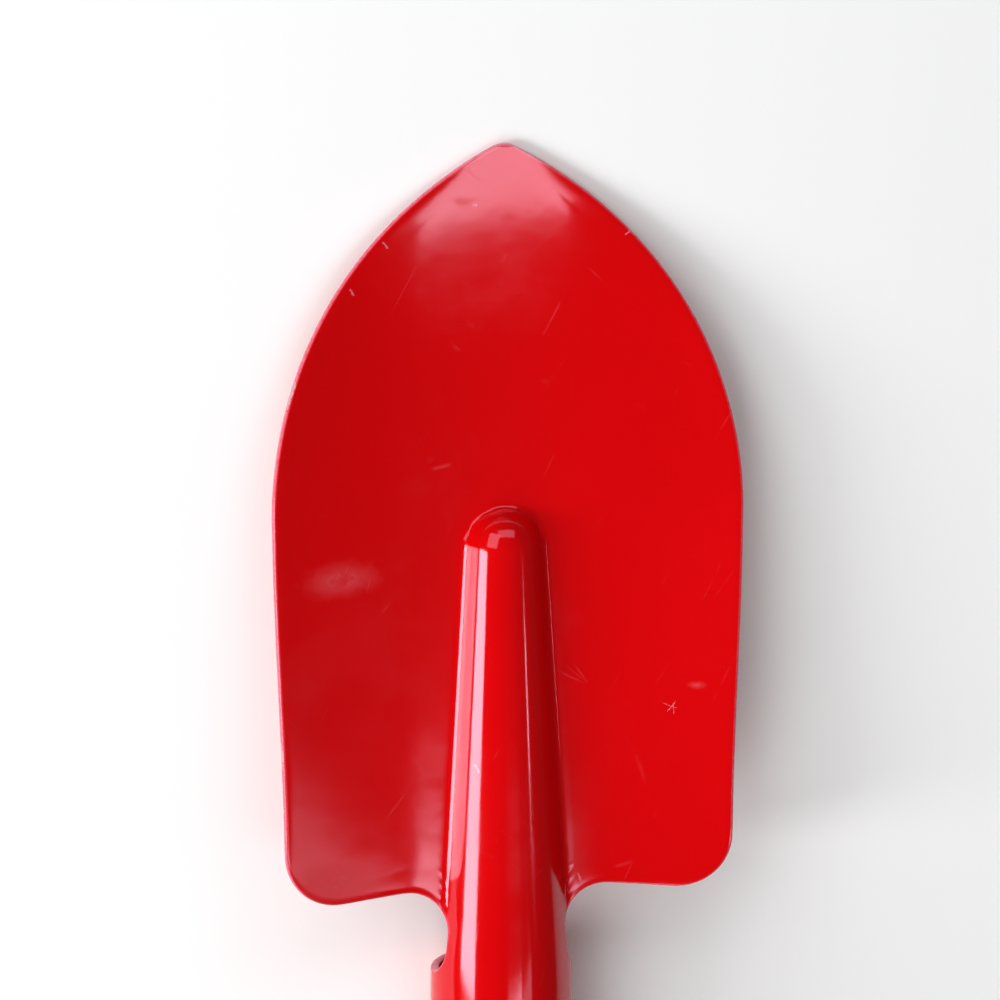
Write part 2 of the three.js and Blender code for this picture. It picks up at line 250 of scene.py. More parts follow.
NOSE_ROWS_START = 60.2             # even rows run from here to the end of the rib's ball nose
NOSE_ROWS = 9
RIB_STATIONS = (70, 73, 78, 85, 93, 101, 108, 114)
SHOULDER_ROOT_LEAD = 4.6           # the last row to the shoulder leaves the rib this far ahead of the fillet
FILLET_ROOT_LEAD = 4.2             # the first row to the fillet leaves the rib this far ahead of its rim
CORNER_STEPS = 8                   # rows round the shoulder, the fillet and the wing's corner
SLOPE_STEP = 0.2                   # how far on the rim's slope is looked up
TURN_LENGTH = 14.0                 # rows that end on a wing leave the middle strip within this length
TUBE_SHARES = (0.08, 0.28, 0.52, 0.76, 0.93, 0.985, 1.0)   # the rows after them, down to the mouth
COIN_START = 14.0                  # the rim is coined down in full from here on
COIN_STOP_LEAD = 3.0               # and less and less from this far ahead of the shoulder's end


def rounded(centre, radius, start, end, steps, hollow=False):
    """Rim points round an arc, each with its normal into the sheet. Angle 0 is towards the rim's side (+x),
    a quarter turn is towards the handle. A hollow arc curves round a centre that lies outside the sheet."""
    points = []
    for step in range(steps + 1):
        angle = lerp(start, end, step / steps)
        out = (math.cos(angle), math.sin(angle))
        side = 1 if hollow else -1
        place = (centre[0] + radius * out[0], centre[1] + radius * out[1])
        points.append((place, (side * out[0], side * out[1])))
    return points


def straight_rim(start, end, shares):
    """Rim points along a straight edge that runs towards the middle of the tool."""
    length = math.hypot(end[0] - start[0], end[1] - start[1])
    into = ((start[1] - end[1]) / length, (end[0] - start[0]) / length)
    return [((lerp(start[0], end[0], share), lerp(start[1], end[1], share)), into) for share in shares]


def blade_rows():
    """(root station, rim point, normal into the sheet) of each row of the blank, from tip to neck."""
    quarter = math.pi / 2
    corner = BLADE_LENGTH - SHOULDER_ROUND
    nose = [lerp(NOSE_ROWS_START, NOSE_STATION, step / NOSE_ROWS) for step in range(NOSE_ROWS + 1)]
    rows = []
    for station in (*TIP_STATIONS, *nose, *RIB_STATIONS, corner):
        slope = (blade_half(station + SLOPE_STEP) - blade_half(station)) / SLOPE_STEP
        slope *= smoothstep(station, 2.0, 16.0)     # near the tip the loops run straight across
        size = math.hypot(1, slope)
        rows.append((station, (blade_half(station), station), (-1 / size, slope / size)))
    wide = blade_half(corner)
    fillet_x = strip_half(NECK_STATION) + NECK_ROUND
    fillet_station = BLADE_LENGTH - SHOULDER_RISE
    shoulder = rounded((wide - SHOULDER_ROUND, corner), SHOULDER_ROUND, 0, quarter, CORNER_STEPS)[1:]
    shoulder += straight_rim(shoulder[-1][0], (fillet_x, fillet_station), (0.25, 0.5, 0.75))
    for index, (rim, into) in enumerate(shoulder):
        root = lerp(corner, fillet_station - SHOULDER_ROOT_LEAD, (index + 1) / len(shoulder))
        rows.append((root, rim, into))
    fillet_centre = (fillet_x, fillet_station + NECK_ROUND)
    fillet = rounded(fillet_centre, NECK_ROUND, -quarter, -2 * quarter, CORNER_STEPS, hollow=True)
    for index, (rim, into) in enumerate(fillet):
        rows.append((rim[1] - FILLET_ROOT_LEAD * (1 - index / CORNER_STEPS), rim, into))
    return rows


def tube_rows():
    """The same for the neck and the tube, with rims as (angle, station): round the wings, down the seam."""
    start = SOCKET_STATION - WING_ROUND
    turn_station = SOCKET_STATION + TURN_LENGTH
    seam = math.pi - SEAM_GAP / 2 / SOCKET_RADIUS
    edge_height = math.cos(NECK_ANGLE) * SOCKET_RADIUS
    rims = []
    for step in range(1, CORNER_STEPS + 1):
        turn = step / CORNER_STEPS * math.pi / 2
        height = edge_height - WING_ROUND * (1 - math.cos(turn))
        into = (-math.cos(turn), math.sin(turn))
        rims.append(((math.acos(height / SOCKET_RADIUS), start + WING_ROUND * math.sin(turn)), into))
    first = rims[-1][0][0]
    for step in range(1, CORNER_STEPS):
        rims.append(((lerp(first, seam, step / CORNER_STEPS), SOCKET_STATION), (0, 1)))
    rims.append(((seam, SOCKET_STATION), (-0.7, 0.7)))
    rows = [(start, (NECK_ANGLE, start), (-1, 0))]
    for index, (rim, into) in enumerate(rims):
        rows.append((lerp(start, turn_station, (index + 1) / len(rims)), rim, into))
    for share in TUBE_SHARES:
        rim = (seam, lerp(SOCKET_STATION, MOUTH_STATION, share))
        rows.append((lerp(turn_station, MOUTH_STATION, share), rim, (-1, 0)))
    return rows


def side_points(root, rim, into, foot_cell):
    """Places from a row's root out to its rim: they leave along the row and reach the rim square to it.
    The last ones are the loops that follow the rim. All are (across, station) in millimetres."""
    loops = min(1.0, LOOPS_SHARE * math.hypot(rim[0] - root[0], rim[1] - root[1]) / RIM_LOOPS[0])
    inner = (rim[0] + into[0] * RIM_LOOPS[0] * loops, rim[1] + into[1] * RIM_LOOPS[0] * loops)
    near = min(foot_cell / math.hypot(inner[0] - root[0], inner[1] - root[1]), FOOT_CELL_SHARE)
    shares = [0.0, near] + [lerp(FOOT_REGION_CELLS * near, 1.0, share) for share in SIDE_SHARES]
    places = [(lerp(root[0], inner[0], share), lerp(root[1], inner[1], share ** 2)) for share in shares]
    places += [(rim[0] + into[0] * depth * loops, rim[1] + into[1] * depth * loops) for depth in RIM_LOOPS]
    return places


def blade_row(root_station, rim, into):
    """Places of one row on the blade, (x, station), from the middle to the right-hand rim."""
    radius = arch_radius(root_station)
    narrow = smoothstep(root_station, BLADE_LENGTH - 2.5, NECK_STATION)
    angle = NECK_ANGLE * lerp(1.0, STRIP_SHARE, narrow)
    if root_station < NOSE_STATION - 2 * NOSE_RADIUS:
        angle = min(angle, math.asin(min(1.0, rim[0] * TIP_STRIP_SHARE / radius)))
    strip = [(radius * math.sin(angle * share), root_station) for share in STRIP_SHARES]
    return strip + side_points((radius * math.sin(angle), root_station), rim, into, BLADE_FOOT_CELL)


def tube_row(root_station, rim, into):
    """Places of one row on the neck or tube, (distance round the tube, station), from the middle outwards."""
    root = SOCKET_RADIUS * NECK_ANGLE * STRIP_SHARE
    strip = [(root * share, root_station) for share in STRIP_SHARES]
    rim = (rim[0] * SOCKET_RADIUS, rim[1])
    return strip + side_points((root, root_station), rim, into, TUBE_FOOT_CELL)


def distance_to_segment(place, a, b):
    along = (b[0] - a[0], b[1] - a[1])
    size = along[0] ** 2 + along[1] ** 2 or 1.0
    share = ((place[0] - a[0]) * along[0] + (place[1] - a[1]) * along[1]) / size
    share = min(1.0, max(0.0, share))
    return math.hypot(place[0] - a[0] - share * along[0], place[1] - a[1] - share * along[1])


def pressed_point(place, outline):
    """A place on the blade, formed and coined down near the rim, and its distance from the rim."""
    depth = min(distance_to_segment(place, a, b) for a, b in zip(outline, outline[1:]))
    coined = max(0.0, 1 - depth / RIM_WIDTH) ** 2
    coined *= smoothstep(place[1], 0.0, COIN_START)
    coined *= 1 - smoothstep(place[1], BLADE_LENGTH - COIN_STOP_LEAD, NECK_STATION)
    point = on_blade(*place)
    point.z -= RIM_DROP * coined
    return point, depth


def rolled_point(place, rim):
    """A place on the neck or tube, rolled round, and its distance from the rim."""
    around, station = place
    angle = around / SOCKET_RADIUS
    point = on_tube(angle, station)
    wider = lerp(1.0, ROLL_ALLOWANCE, smoothstep(angle, NECK_ANGLE * STRIP_SHARE, NECK_ANGLE * 1.2))
    rolled = Vector((point.x * wider, point.y, (point.z + SOCKET_SINK) * wider - SOCKET_SINK))
    return rolled, min(math.hypot(around - rim[0], station - rim[1]), MOUTH_STATION - station)


def pressed_blank():
    """The blank's right half, row by row: each formed point and its distance from the sheet's rim."""
    blade = [blade_row(*row) for row in blade_rows()]
    tube = [tube_row(*row) for row in tube_rows()]
    outline = [(0.0, 0.0)] + [row[-1] for row in blade]
    formed = [[pressed_point(place, outline) for place in row] for row in blade]
    formed += [[rolled_point(place, row[-1]) for place in row] for row in tube]
    return formed


# ---------------------------------------------------------------- hand tools

def deselect():
    bpy.ops.object.select_all(action="DESELECT")


def named(name):
    piece = bpy.context.object
    piece.name = piece.data.name = name
    return piece


def apply_modifier(piece, kind, **settings):
    modifier = piece.modifiers.new(kind.title(), kind)
    for key, value in settings.items():
        setattr(modifier, key, value)
    bpy.context.view_layer.objects.active = piece
    bpy.ops.object.modifier_apply(modifier=modifier.name)


def pick(piece):
    deselect()
    piece.select_set(True)
    bpy.context.view_layer.objects.active = piece


def tidy_surface(piece):
    """Merges what lies double, turns every face outwards and shades the soft parts smooth."""
    pick(piece)
    bpy.ops.object.mode_set(mode="EDIT")
    bpy.ops.mesh.select_all(action="SELECT")
    bpy.ops.mesh.remove_doubles(threshold=DOUBLES)
    bpy.ops.mesh.normals_make_consistent(inside=False)
    bpy.ops.object.mode_set(mode="OBJECT")
    bpy.ops.object.shade_smooth_by_angle(angle=SMOOTH_ANGLE)


def lay_down(piece):
    """Puts a piece made in the tool's straight frame where the frame has it, with its place in its mesh."""
    piece.matrix_world = LAID @ piece.matrix_world
    pick(piece)
    bpy.ops.object.transform_apply(location=True, rotation=True, scale=True)


def finished(piece, slot, *nodes):
    """Cleans a piece made in the tool's straight frame, lays it down, puts it under the body and hides the
    parts that it stands for.
    """
    tidy_surface(piece)
    lay_down(piece)
    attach(piece, BODY)
    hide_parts(*nodes)
    return piece


def ring_the_end(radius):
    """Two rings and a centre in the selected flat end, so that it has no long thin faces."""
    bpy.ops.mesh.inset(thickness=radius * 0.5)
    bpy.ops.mesh.inset(thickness=radius * 0.3)
    bpy.ops.mesh.poke()


def turned(name, rings, sides):
    """A turned piece on the Z axis: a disc that is drawn out ring by ring. rings are (radius, height)."""
    deselect()
    first_radius, first_height = rings[0]
    bpy.ops.mesh.primitive_circle_add(
        vertices=sides, radius=first_radius, fill_type="NGON", location=(0, 0, first_height))
    piece = named(name)
    bpy.ops.object.transform_apply(location=True)
    bpy.ops.object.mode_set(mode="EDIT")
    bpy.ops.mesh.select_all(action="SELECT")
    ring_the_end(first_radius)
    bpy.ops.mesh.select_all(action="DESELECT")
    bpy.ops.object.mode_set(mode="OBJECT")
    for edge in piece.data.edges:
        ends = [piece.data.vertices[i].co for i in edge.vertices]
        edge.select = all(abs(math.hypot(end.x, end.y) - first_radius) < 1e-4 for end in ends)
    bpy.ops.object.mode_set(mode="EDIT")
    bpy.ops.mesh.select_mode(type="EDGE")
    radius, height = first_radius, first_height
    for next_radius, next_height in rings[1:]:
        bpy.ops.mesh.extrude_edges_move(
            TRANSFORM_OT_translate={"value": (0, 0, next_height - height)})
        factor = next_radius / radius
        bpy.ops.transform.resize(value=(factor, factor, 1), center_override=(0, 0, next_height))
        radius, height = next_radius, next_height
    bpy.ops.mesh.edge_face_add()
    ring_the_end(radius)
    bpy.ops.mesh.select_all(action="SELECT")
    bpy.ops.mesh.normals_make_consistent(inside=False)
    bpy.ops.object.mode_set(mode="OBJECT")
    return piece


def cut_away(piece, cutter):
    apply_modifier(piece, "BOOLEAN", operation="DIFFERENCE", object=cutter, solver="EXACT")
    bpy.data.objects.remove(cutter)


# ---------------------------------------------------------------- the pieces

def blade_pressing():
    blank = pressed_blank()
    side_cells = len(blank[0]) - 1
    deselect()
    bpy.ops.mesh.primitive_grid_add(
        x_subdivisions=2 * side_cells, y_subdivisions=len(blank) - 1, size=2.0)
    piece = named("enamelled_pressing")
    rim_depth = piece.data.attributes.new("rim", "FLOAT", "POINT")
    for vertex in piece.data.vertices:
        column = round((vertex.co.x + 1) * side_cells) - side_cells
        row = round((1 - vertex.co.y) / 2 * (len(blank) - 1))
        point, depth = blank[row][abs(column)]
        rim_depth.data[vertex.index].value = depth
        vertex.co = (math.copysign(point.x, column), point.y, point.z)
    apply_modifier(piece, "SOLIDIFY", thickness=SHEET, offset=-1.0)
    apply_modifier(piece, "SUBSURF", levels=2, render_levels=2)
    cut_away(piece, cross_drill("rivet_drill"))
    return finished(piece, "enamel", "blade_pressing")


def cross_drill(name, middle=0.0, half_length=2.2 * SOCKET_RADIUS):
    """A drill for the rivet's hole, which lies across the socket with its middle this far from the axis."""
    deselect()
    bpy.ops.mesh.primitive_cylinder_add(
        vertices=32, radius=RIVET_RADIUS + FIT_GAP, depth=2 * half_length,
        location=(middle, -RIVET_STATION, -SOCKET_SINK), rotation=(0, math.pi / 2, 0))
    return named(name)


def catmull(points, share):
    """A point between the second and the third of four, on the curve through them all."""
    weights = (
        (-share + 2 * share ** 2 - share ** 3) / 2,
        (2 - 5 * share ** 2 + 3 * share ** 3) / 2,
        (share + 4 * share ** 2 - 3 * share ** 3) / 2,
        (-share ** 2 + share ** 3) / 2,
    )
    return tuple(sum(w * p[axis] for w, p in zip(weights, points)) for axis in (0, 1))


def grip_rings():
    """(radius, distance from the grip's front) along the grip: shoulder, palm swell, waist and butt."""
    points = (
        (SOCKET_RADIUS + GRIP_LIP, 0.0),
        (GRIP_RADIUS * 0.87, GRIP_LENGTH * 0.1),
        (GRIP_RADIUS * 0.985, GRIP_LENGTH * 0.32),
        (GRIP_RADIUS, GRIP_LENGTH * 0.45),
        (GRIP_RADIUS * 0.93, GRIP_LENGTH * 0.65),
        (GRIP_RADIUS * 0.84, GRIP_LENGTH * 0.8),
        (GRIP_RADIUS * 0.86, GRIP_LENGTH * 0.92),
    )
    rings = []
    steps = 5
    for index in range(len(points) - 1):
        around = [points[max(0, min(len(points) - 1, index + shift))] for shift in (-1, 0, 1, 2)]
        for step in range(steps):
            rings.append(catmull(around, step / steps))
    rings.append(points[-1])
    waist, start = points[-1]
    for step in range(1, 8):
        angle = step / 7 * math.pi / 2
        rings.append((
            BUTT_FACE_RADIUS + (waist - BUTT_FACE_RADIUS) * math.cos(angle),
            start + (GRIP_LENGTH - start) * math.sin(angle),
        ))
    return rings


def handle():
    tenon_end = MOUTH_STATION - TENON_LENGTH
    front = MOUTH_STATION + FIT_GAP
    shoulder = SOCKET_RADIUS + GRIP_LIP
    rings = [
        (TENON_RADIUS - 1.0, tenon_end),
        (TENON_RADIUS, tenon_end + 1.0),
        (TENON_RADIUS, tenon_end + TENON_LENGTH / 2),
        (TENON_RADIUS, front - 0.5),
        (TENON_RADIUS, front),
        (shoulder - 0.7, front),
        (shoulder - 0.2, front + 0.2),
        (shoulder, front + 0.7),
    ]
    rings += [(radius, front + along) for radius, along in grip_rings() if along > 1.0]
    piece = turned("turned_handle", rings, sides=48)
    lengthwise = Matrix.Rotation(math.pi / 2, 4, "X")
    piece.matrix_world = Matrix.Translation((0, 0, -SOCKET_SINK)) @ lengthwise
    apply_modifier(piece, "SUBSURF", levels=1, render_levels=1)
    cut_away(piece, cross_drill("tenon_drill"))
    cut_away(piece, hang_drill())
    return finished(piece, "handle_wood", "handle")


def hang_drill():
    """A drill for the hang hole that flares at both mouths, so that it leaves no sharp edge."""
    reach = GRIP_RADIUS * 0.83         # where the hole meets the grip's surface
    flare = 1.6
    rings = [(HANG_HOLE_RADIUS + 2 * flare, -reach - 1.5 * flare)]
    for step in range(6):
        angle = step / 5 * math.pi / 2
        radius = HANG_HOLE_RADIUS + flare * (1 - math.sin(angle))
        rings.append((radius, -reach + flare * (1 - math.cos(angle))))
    rings += [(radius, -height) for radius, height in reversed(rings)]
    drill = turned("hang_drill", rings, sides=48)
    drill.matrix_world = Matrix.Translation((0, HANG_HOLE_INSET - BUTT_STATION, -SOCKET_SINK))
    return drill


def cross_turned(name, rings):
    """A turned piece whose axis lies across the socket; heights run along +X from the tube's axis."""
    piece = turned(name, rings, sides=40)
    across = Matrix.Rotation(math.pi / 2, 4, "Y")
    piece.matrix_world = Matrix.Translation((0, -RIVET_STATION, -SOCKET_SINK)) @ across
    return piece


def dome(radius, height, base, out=1):
    """Rings of a low dome from its crown to its rim, on the side that out says."""
    rings = []
    for step in range(1, 9):
        angle = step / 8 * math.pi / 2
        rings.append((radius * math.sin(angle), out * (base + height * math.cos(angle))))
    return rings


def handle_rivet():
    seat = SOCKET_RADIUS + FIT_GAP
    clench_seat = seat + BURR_THICKNESS + FIT_GAP
    head = dome(RIVET_HEAD_RADIUS, RIVET_HEAD_HEIGHT, seat, out=-1)
    clench = dome(RIVET_HEAD_RADIUS * 0.82, RIVET_HEAD_HEIGHT * 0.8, clench_seat)
    rings = [*head, (RIVET_RADIUS, -seat), (RIVET_RADIUS, 0), (RIVET_RADIUS, clench_seat), *reversed(clench)]
    piece = cross_turned("handle_rivet_domed", rings)
    return finished(piece, "rivet_steel", "handle_rivet")


def rivet_burr():
    inner = SOCKET_RADIUS + FIT_GAP
    outer = inner + BURR_THICKNESS
    rings = [
        (BURR_RADIUS - 0.15, inner),
        (BURR_RADIUS, inner + 0.15),
        (BURR_RADIUS, outer - 0.35),
        (BURR_RADIUS - 0.12, outer - 0.12),
        (BURR_RADIUS - 0.4, outer),
        (RIVET_RADIUS + 1.0, outer),
    ]
    piece = cross_turned("rivet_burr_pressed", rings)
    cut_away(piece, cross_drill("burr_punch", (inner + outer) / 2, 3 * BURR_THICKNESS))
    return finished(piece, "rivet_steel", "rivet_burr")


# ---------------------------------------------------------------- shader groups

class Nodes:
    """A short way to place and join shader nodes in one tree."""

    def __init__(self, tree):
        self.tree = tree
        tree.nodes.clear()

    def add(self, kind, inputs=None, **settings):
        node = self.tree.nodes.new(kind)
        for key, value in settings.items():
            setattr(node, key, value)
        for key, value in (inputs or {}).items():
            self.put(node.inputs[key], value)
        return node

    def put(self, socket, value):
        if isinstance(value, bpy.types.NodeSocket):
            self.tree.links.new(value, socket)
        else:
            socket.default_value = value

    def math(self, operation, a, b=0.0, clamp=False):
        return self.add("ShaderNodeMath", {0: a, 1: b}, operation=operation, use_clamp=clamp).outputs[0]

    def ramp(self, value, low, high, to_low=0.0, to_high=1.0):
        node = self.add("ShaderNodeMapRange", {
            "Value": value, "From Min": low, "From Max": high, "To Min": to_low, "To Max": to_high},
            interpolation_type="SMOOTHSTEP")
        return node.outputs["Result"]

    def mix(self, share, a, b):
        node = self.add("ShaderNodeMix", data_type="RGBA")
        self.put(node.inputs[0], share)
        self.put(node.inputs[6], a)
        self.put(node.inputs[7], b)
        return node.outputs[2]

    def noise(self, place, scale, detail=2.0, roughness=0.5):
        node = self.add("ShaderNodeTexNoise", {
            "Vector": place, "Scale": scale, "Detail": detail, "Roughness": roughness})
        return node.outputs["Fac"]

    def mapping(self, place, scale=(1, 1, 1), turn=(0, 0, 0), shift=(0, 0, 0)):
        node = self.add("ShaderNodeMapping", {
            "Vector": place, "Location": shift, "Rotation": turn, "Scale": scale})
        return node.outputs["Vector"]


def group(name, inputs, outputs):
    """A new node group with named sockets: inputs are {name: (type, default)}, outputs {name: type}."""
    tree = bpy.data.node_groups.new(name, "ShaderNodeTree")
    for label, (kind, default) in inputs.items():
        socket = tree.interface.new_socket(label, in_out="INPUT", socket_type=kind)
        if default is not None:
            socket.default_value = default
    for label, kind in outputs.items():
        tree.interface.new_socket(label, in_out="OUTPUT", socket_type=kind)
    nodes = Nodes(tree)
    return tree, nodes, nodes.add("NodeGroupInput").outputs, nodes.add("NodeGroupOutput").inputs


FLOAT, VECTOR = "NodeSocketFloat", "NodeSocketVector"


def scratch_group():
    """Fine straight scratches that run one way, broken into short lengths."""
    tree, nodes, given, out = group(
        "fine_scratches",
        {"Place": (VECTOR, None), "Turn": (VECTOR, (0, 0, 0)),
         "Density": (FLOAT, 60.0), "Amount": (FLOAT, 0.5)},
        {"Mask": FLOAT})
    turned_place = nodes.mapping(given["Place"], turn=given["Turn"])
    stretched = nodes.mapping(turned_place, scale=(1.0, 0.045, 1.0))
    cells = nodes.add(
        "ShaderNodeTexVoronoi", {"Vector": stretched, "Scale": given["Density"]}, feature="DISTANCE_TO_EDGE")
    lines = nodes.ramp(cells.outputs["Distance"], 0.0, 0.006, 1.0, 0.0)
    patches = nodes.noise(turned_place, 130.0, 3.0)
    kept = nodes.ramp(patches, 0.58, 0.7)
    nodes.put(out["Mask"], nodes.math("MULTIPLY", nodes.math("MULTIPLY", lines, kept), given["Amount"], True))
    return tree


def knock_group():
    """One short mark of a knock: a ragged line through a centre, seen from above the blade."""
    tree, nodes, given, out = group(
        "knock_mark",
        {"Place": (VECTOR, None), "Centre": (VECTOR, (0, 0, 0)), "Turn": (FLOAT, 0.0),
         "Half Length": (FLOAT, 0.002), "Half Width": (FLOAT, 0.00015)},
        {"Mask": FLOAT})
    offset = nodes.add("ShaderNodeVectorMath", {0: given["Place"], 1: given["Centre"]}, operation="SUBTRACT")
    spun = nodes.add("ShaderNodeVectorRotate", {"Vector": offset.outputs[0], "Angle": given["Turn"]},
                     rotation_type="Z_AXIS")
    along = nodes.add("ShaderNodeSeparateXYZ", {0: spun.outputs[0]}).outputs
    ragged = nodes.noise(given["Place"], 2600.0, 2.0)
    wander = nodes.math("MULTIPLY", nodes.math("SUBTRACT", ragged, 0.5), 0.0007)
    off_line = nodes.math("ABSOLUTE", nodes.math("ADD", along[1], wander))
    reached = nodes.math("DIVIDE", nodes.math("ABSOLUTE", along[0]), given["Half Length"])
    taper = nodes.math("SUBTRACT", 1.0, reached)
    width = nodes.math("MULTIPLY", given["Half Width"], nodes.ramp(taper, 0.0, 0.5))
    nodes.put(out["Mask"], nodes.math("LESS_THAN", off_line, width))
    return tree


def speck_group():
    """Small scattered pits or grains of one size."""
    tree, nodes, given, out = group(
        "scattered_specks",
        {"Place": (VECTOR, None), "Density": (FLOAT, 300.0), "Size": (FLOAT, 0.16), "Share": (FLOAT, 0.1)},
        {"Mask": FLOAT})
    cells = nodes.add("ShaderNodeTexVoronoi", {"Vector": given["Place"], "Scale": given["Density"]})
    bent = nodes.noise(given["Place"], 2500.0, 2.0)
    near = nodes.math("ADD", cells.outputs["Distance"], nodes.math("MULTIPLY", bent, 0.12))
    dot = nodes.math("LESS_THAN", near, given["Size"])
    chosen = nodes.add("ShaderNodeSeparateColor", {"Color": cells.outputs["Color"]}).outputs[0]
    kept = nodes.math("LESS_THAN", chosen, given["Share"])
    nodes.put(out["Mask"], nodes.math("MULTIPLY", dot, kept))
    return tree


def rub_and_highlight_group():
    """A rubbed, finger-sized patch where the gloss is gone, broken up inside. The enamel also uses this mask
    to lighten its red towards pink, a painted highlight.
    """
    tree, nodes, given, out = group(
        "rubbed_patch_and_highlight",
        {"Place": (VECTOR, None), "Centre": (VECTOR, (0, 0, 0)), "Reach": (FLOAT, 0.005)},
        {"Mask": FLOAT})
    offset = nodes.add("ShaderNodeVectorMath", {0: given["Place"], 1: given["Centre"]}, operation="SUBTRACT")
    squashed = nodes.mapping(offset.outputs[0], scale=(0.65, 1.5, 1.0))
    far = nodes.add("ShaderNodeVectorMath", {0: squashed}, operation="LENGTH")
    share = nodes.math("DIVIDE", far.outputs["Value"], given["Reach"])
    broken = nodes.noise(given["Place"], 420.0, 4.0, 0.65)
    inside = nodes.ramp(nodes.math("ADD", share, nodes.math("SUBTRACT", broken, 0.5)), 0.1, 0.9, 1.0, 0.0)
    nodes.put(out["Mask"], nodes.math("MULTIPLY", inside, nodes.ramp(broken, 0.3, 0.66, 0.35, 1.0)))
    return tree


def rim_wear_group():
    """Paint worn thin along a rim and chipped here and there. Distance is how far in from it a place lies."""
    tree, nodes, given, out = group(
        "rim_wear",
        {"Place": (VECTOR, None), "Distance": (FLOAT, 1.0), "Reach": (FLOAT, 0.5), "Amount": (FLOAT, 0.5)},
        {"Chips": FLOAT, "Thin": FLOAT})
    coarse = nodes.noise(given["Place"], 85.0, 2.0)
    fine = nodes.noise(given["Place"], 1500.0, 3.0, 0.65)
    depth = nodes.math("DIVIDE", given["Distance"], given["Reach"])
    patch = nodes.math("MULTIPLY", nodes.ramp(coarse, 0.5, 0.75), fine)
    bitten = nodes.math("MULTIPLY", patch, given["Amount"])
    edge = nodes.math("SUBTRACT", bitten, nodes.math("MULTIPLY", depth, 0.4))
    nodes.put(out["Chips"], nodes.ramp(edge, 0.16, 0.2))
    worn = nodes.ramp(depth, 0.0, 1.0, 1.0, 0.0)
    nodes.put(out["Thin"], nodes.math("MULTIPLY", worn, nodes.ramp(fine, 0.3, 0.6, 0.5, 1.0)))
    return tree


def orange_peel_group():
    """The soft ripple of sprayed or dipped enamel, as a height."""
    tree, nodes, given, out = group(
        "orange_peel",
        {"Place": (VECTOR, None), "Scale": (FLOAT, 220.0), "Flow": (FLOAT, 30.0)},
        {"Height": FLOAT})
    ripple = nodes.noise(given["Place"], given["Scale"], 1.0)
    flow = nodes.noise(given["Place"], given["Flow"], 1.0)
    nodes.put(out["Height"], nodes.math("ADD", nodes.math("MULTIPLY", ripple, 0.3), flow))
    return tree


# ---------------------------------------------------------------- finishes

def new_material(name):
    material = bpy.data.materials.new(name)
    material.use_nodes = True
    nodes = Nodes(material.node_tree)
    shader = nodes.add("ShaderNodeBsdfPrincipled")
    nodes.add("ShaderNodeOutputMaterial", {"Surface": shader.outputs[0]})
    place = nodes.add("ShaderNodeTexCoord").outputs["Object"]
    return material, nodes, shader, place


def bump(nodes, shader, height, strength):
    node = nodes.add("ShaderNodeBump", {"Height": height, "Strength": strength, "Distance": 1.0})
    nodes.put(shader.inputs["Normal"], node.outputs["Normal"])


def place_group(nodes, tree, inputs):
    node = nodes.add("ShaderNodeGroup", node_tree=tree)
    for key, value in inputs.items():
        nodes.put(node.inputs[key], value)
    return node.outputs


KNOCKS = (      # centre on the laid blade, turn, half length and half width, in metres and radians
    ((0.0279, 0.0565, 0.0138), 0.35, 0.0014, 0.00006),
    ((0.0281, 0.0563, 0.0138), -0.9, 0.0013, 0.00006),
    ((0.0285, 0.0560, 0.0138), 1.5, 0.0010, 0.00006),
    ((-0.0056, 0.0477, 0.0159), 1.2, 0.0010, 0.00022),
    ((-0.0049, 0.1416, 0.0017), 0.4, 0.0005, 0.00022),
    ((0.0127, 0.0265, 0.0164), 1.3, 0.0009, 0.00014),
    ((-0.0201, 0.1357, 0.0034), 0.9, 0.0009, 0.00016),
    ((-0.0258, 0.1283, 0.0049), 1.1, 0.0008, 0.00013),
    ((0.0207, 0.1367, 0.0033), -0.7, 0.0008, 0.00016),
)
# rubbed patches whose mask also paints a pink highlight on the enamel: the first and the last stand mostly
# for highlights, the second for a small real smudge
RUBS_AND_HIGHLIGHTS = (     # centre on the laid blade and reach, in metres
    ((-0.0283, 0.0805, 0.0110), 0.0065),
    ((0.0324, 0.0602, 0.0144), 0.0016),
    ((-0.0300, 0.0290, 0.0160), 0.0090),
)


def joined_marks(nodes, place, tree, inputs):
    """Several marks of one kind, joined into one mask."""
    total = None
    for settings in inputs:
        mark = place_group(nodes, tree, {"Place": place, **settings})
        total = mark["Mask"] if total is None else nodes.math("MAXIMUM", total, mark["Mask"])
    return total


